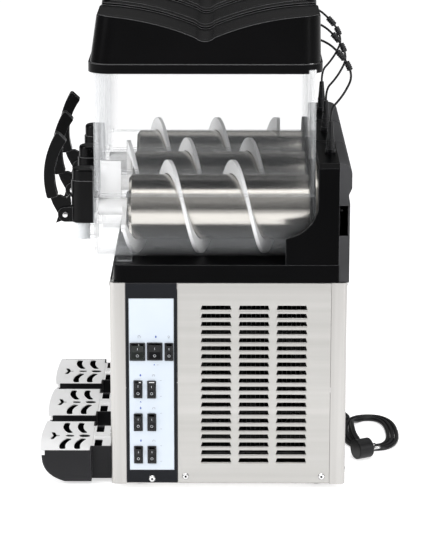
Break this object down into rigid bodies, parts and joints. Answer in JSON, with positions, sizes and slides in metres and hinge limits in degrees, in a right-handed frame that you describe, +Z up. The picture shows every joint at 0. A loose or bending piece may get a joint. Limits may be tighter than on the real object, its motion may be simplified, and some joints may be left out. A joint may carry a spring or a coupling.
{
  "type": "slushie machine",
  "caption": "Countertop frozen-drink machine with clear bowls on chilled drums, turning spirals, pull-handle taps, drip trays and a steel cabinet with rocker switches",
  "frame": {"origin": "centre of the cabinet footprint on the surface it stands on", "axes": "+Z up, -Y is the tap side the customer faces, +X is the side with the rocker switches"},
  "size_m": [0.6107, 0.6575, 0.8312],
  "materials": {
    "steel_frame": "satin",
    "steel_panel": "fine brushed",
    "rubber_black": "matt",
    "screw_steel": "polished",
    "bezel_black": "fine textured",
    "deck_black": "semi-gloss",
    "hood_black": "gloss",
    "cover_grey": "fine textured",
    "drum_steel": "satin",
    "motor_grey": "painted",
    "shaft_steel": "ground",
    "compressor_black": "satin",
    "condenser_alu": "mill finish",
    "cable_black": "satin",
    "bowl_clear": "clear",
    "auger_white": "satin",
    "tap_black": "gloss",
    "piston_white": "satin",
    "lid_black": "gloss",
    "tray_black": "fine textured",
    "grille_white": "satin",
    "rocker_black": "satin",
    "rocker_green": "lit window",
    "fan_black": "satin"
  },
  "bodies": {
    "cabinet": {"base_frame": "steel_frame", "side_panel_right": "steel_panel", "side_panel_left": "steel_panel", "front_panel": "steel_panel", "rear_panel": "steel_panel", "feet": "rubber_black", "screws": "screw_steel", "control_panel": "bezel_black", "deck": "deck_black", "motor_hoods": "hood_black", "rear_covers": "cover_grey", "evaporators": "drum_steel", "bowl_seals": "rubber_black", "gearmotors": "motor_grey", "compressor": "compressor_black", "condenser": "condenser_alu", "cable_glands": "cable_black", "mains_cord": "cable_black", "cord_coil": "cable_black", "mains_plug": "cable_black"},
    "bowl_left": {"bowl_left": "bowl_clear", "tap_housing_left": "tap_black"},
    "lid_left": {"lid_left": "lid_black", "light_cable_left": "cable_black"},
    "tap_piston_left": {"tap_piston_left": "piston_white"},
    "tap_handle_left": {"tap_handle_left": "tap_black"},
    "auger_left": {"auger_left": "auger_white", "drive_shaft_left": "shaft_steel"},
    "drip_tray_left": {"drip_tray_left": "tray_black"},
    "drip_grille_left": {"drip_grille_left": "grille_white"},
    "bowl_mid": {"bowl_mid": "bowl_clear", "tap_housing_mid": "tap_black"},
    "lid_mid": {"lid_mid": "lid_black", "light_cable_mid": "cable_black"},
    "tap_piston_mid": {"tap_piston_mid": "piston_white"},
    "tap_handle_mid": {"tap_handle_mid": "tap_black"},
    "auger_mid": {"auger_mid": "auger_white", "drive_shaft_mid": "shaft_steel"},
    "drip_tray_mid": {"drip_tray_mid": "tray_black"},
    "drip_grille_mid": {"drip_grille_mid": "grille_white"},
    "bowl_right": {"bowl_right": "bowl_clear", "tap_housing_right": "tap_black"},
    "lid_right": {"lid_right": "lid_black", "light_cable_right": "cable_black"},
    "tap_piston_right": {"tap_piston_right": "piston_white"},
    "tap_handle_right": {"tap_handle_right": "tap_black"},
    "auger_right": {"auger_right": "auger_white", "drive_shaft_right": "shaft_steel"},
    "drip_tray_right": {"drip_tray_right": "tray_black"},
    "drip_grille_right": {"drip_grille_right": "grille_white"},
    "fan": {"fan": "fan_black"},
    "rocker_power": {"rocker_power": "rocker_green"},
    "rocker_mode": {"rocker_mode": "rocker_black"},
    "rocker_light": {"rocker_light": "rocker_black"},
    "rocker_mix_left": {"rocker_mix_left": "rocker_black"},
    "rocker_cool_left": {"rocker_cool_left": "rocker_black"},
    "rocker_mix_mid": {"rocker_mix_mid": "rocker_black"},
    "rocker_cool_mid": {"rocker_cool_mid": "rocker_black"},
    "rocker_mix_right": {"rocker_mix_right": "rocker_black"},
    "rocker_cool_right": {"rocker_cool_right": "rocker_black"}
  },
  "joints": [
    {"name": "bowl_pull_left", "type": "slide", "parent": "cabinet", "child": "bowl_left", "axis": [0, -1, 0], "range_m": [0, 0.39]},
    {"name": "lid_lift_left", "type": "slide", "parent": "bowl_left", "child": "lid_left", "axis": [0, 0, 1], "range_m": [0, 0.12]},
    {"name": "tap_handle_pull_left", "type": "hinge", "parent": "bowl_left", "child": "tap_handle_left", "pos_m": [-0.2, -0.2835, 0.472], "axis": [1, 0, 0], "range_deg": [0, 36], "stiffness_Nm_per_rad": 0.6, "springref_deg": -34.38},
    {"name": "tap_piston_lift_left", "type": "slide", "parent": "bowl_left", "child": "tap_piston_left", "axis": [0, 0, 1], "range_m": [0, 0.022]},
    {"name": "auger_turn_left", "type": "hinge", "parent": "cabinet", "child": "auger_left", "pos_m": [-0.2, -0.15, 0.485], "axis": [0, 1, 0], "continuous": true},
    {"name": "drip_tray_pull_left", "type": "slide", "parent": "cabinet", "child": "drip_tray_left", "axis": [0, -1, 0], "range_m": [0, 0.15]},
    {"name": "drip_grille_lift_left", "type": "slide", "parent": "drip_tray_left", "child": "drip_grille_left", "axis": [0, 0, 1], "range_m": [0, 0.08]},
    {"name": "bowl_pull_mid", "type": "slide", "parent": "cabinet", "child": "bowl_mid", "axis": [0, -1, 0], "range_m": [0, 0.39]},
    {"name": "lid_lift_mid", "type": "slide", "parent": "bowl_mid", "child": "lid_mid", "axis": [0, 0, 1], "range_m": [0, 0.12]},
    {"name": "tap_handle_pull_mid", "type": "hinge", "parent": "bowl_mid", "child": "tap_handle_mid", "pos_m": [0, -0.2835, 0.472], "axis": [1, 0, 0], "range_deg": [0, 36], "stiffness_Nm_per_rad": 0.6, "springref_deg": -34.38},
    {"name": "tap_piston_lift_mid", "type": "slide", "parent": "bowl_mid", "child": "tap_piston_mid", "axis": [0, 0, 1], "range_m": [0, 0.022]},
    {"name": "auger_turn_mid", "type": "hinge", "parent": "cabinet", "child": "auger_mid", "pos_m": [0, -0.15, 0.485], "axis": [0, 1, 0], "continuous": true},
    {"name": "drip_tray_pull_mid", "type": "slide", "parent": "cabinet", "child": "drip_tray_mid", "axis": [0, -1, 0], "range_m": [0, 0.15]},
    {"name": "drip_grille_lift_mid", "type": "slide", "parent": "drip_tray_mid", "child": "drip_grille_mid", "axis": [0, 0, 1], "range_m": [0, 0.08]},
    {"name": "bowl_pull_right", "type": "slide", "parent": "cabinet", "child": "bowl_right", "axis": [0, -1, 0], "range_m": [0, 0.39]},
    {"name": "lid_lift_right", "type": "slide", "parent": "bowl_right", "child": "lid_right", "axis": [0, 0, 1], "range_m": [0, 0.12]},
    {"name": "tap_handle_pull_right", "type": "hinge", "parent": "bowl_right", "child": "tap_handle_right", "pos_m": [0.2, -0.2835, 0.472], "axis": [1, 0, 0], "range_deg": [0, 36], "stiffness_Nm_per_rad": 0.6, "springref_deg": -34.38},
    {"name": "tap_piston_lift_right", "type": "slide", "parent": "bowl_right", "child": "tap_piston_right", "axis": [0, 0, 1], "range_m": [0, 0.022]},
    {"name": "auger_turn_right", "type": "hinge", "parent": "cabinet", "child": "auger_right", "pos_m": [0.2, -0.15, 0.485], "axis": [0, 1, 0], "continuous": true},
    {"name": "drip_tray_pull_right", "type": "slide", "parent": "cabinet", "child": "drip_tray_right", "axis": [0, -1, 0], "range_m": [0, 0.15]},
    {"name": "drip_grille_lift_right", "type": "slide", "parent": "drip_tray_right", "child": "drip_grille_right", "axis": [0, 0, 1], "range_m": [0, 0.08]},
    {"name": "fan_turn", "type": "hinge", "parent": "cabinet", "child": "fan", "pos_m": [0.215, 0.044, 0.165], "axis": [1, 0, 0], "continuous": true},
    {"name": "rocker_power_tip", "type": "hinge", "parent": "cabinet", "child": "rocker_power", "pos_m": [0.3015, -0.1565, 0.251], "axis": [0, -1, 0], "range_deg": [0, 14]},
    {"name": "rocker_mode_tip", "type": "hinge", "parent": "cabinet", "child": "rocker_mode", "pos_m": [0.3015, -0.1267, 0.251], "axis": [0, 1, 0], "range_deg": [-7, 7]},
    {"name": "rocker_light_tip", "type": "hinge", "parent": "cabinet", "child": "rocker_light", "pos_m": [0.3015, -0.102, 0.251], "axis": [0, -1, 0], "range_deg": [0, 14]},
    {"name": "rocker_mix_left_tip", "type": "hinge", "parent": "cabinet", "child": "rocker_mix_left", "pos_m": [0.3015, -0.156, 0.183], "axis": [0, 1, 0], "range_deg": [-7, 7]},
    {"name": "rocker_cool_left_tip", "type": "hinge", "parent": "cabinet", "child": "rocker_cool_left", "pos_m": [0.3015, -0.1325, 0.183], "axis": [0, -1, 0], "range_deg": [0, 14]},
    {"name": "rocker_mix_mid_tip", "type": "hinge", "parent": "cabinet", "child": "rocker_mix_mid", "pos_m": [0.3015, -0.156, 0.1237], "axis": [0, -1, 0], "range_deg": [0, 14]},
    {"name": "rocker_cool_mid_tip", "type": "hinge", "parent": "cabinet", "child": "rocker_cool_mid", "pos_m": [0.3015, -0.1325, 0.1237], "axis": [0, -1, 0], "range_deg": [0, 14]},
    {"name": "rocker_mix_right_tip", "type": "hinge", "parent": "cabinet", "child": "rocker_mix_right", "pos_m": [0.3015, -0.156, 0.0644], "axis": [0, -1, 0], "range_deg": [0, 14]},
    {"name": "rocker_cool_right_tip", "type": "hinge", "parent": "cabinet", "child": "rocker_cool_right", "pos_m": [0.3015, -0.1325, 0.0644], "axis": [0, -1, 0], "range_deg": [0, 14]}
  ],
  "couplings": [
    {"joint": "tap_piston_lift_left", "follows": "tap_handle_pull_left", "m_per_rad": 0.03},
    {"joint": "tap_piston_lift_mid", "follows": "tap_handle_pull_mid", "m_per_rad": 0.03},
    {"joint": "tap_piston_lift_right", "follows": "tap_handle_pull_right", "m_per_rad": 0.03}
  ]
}
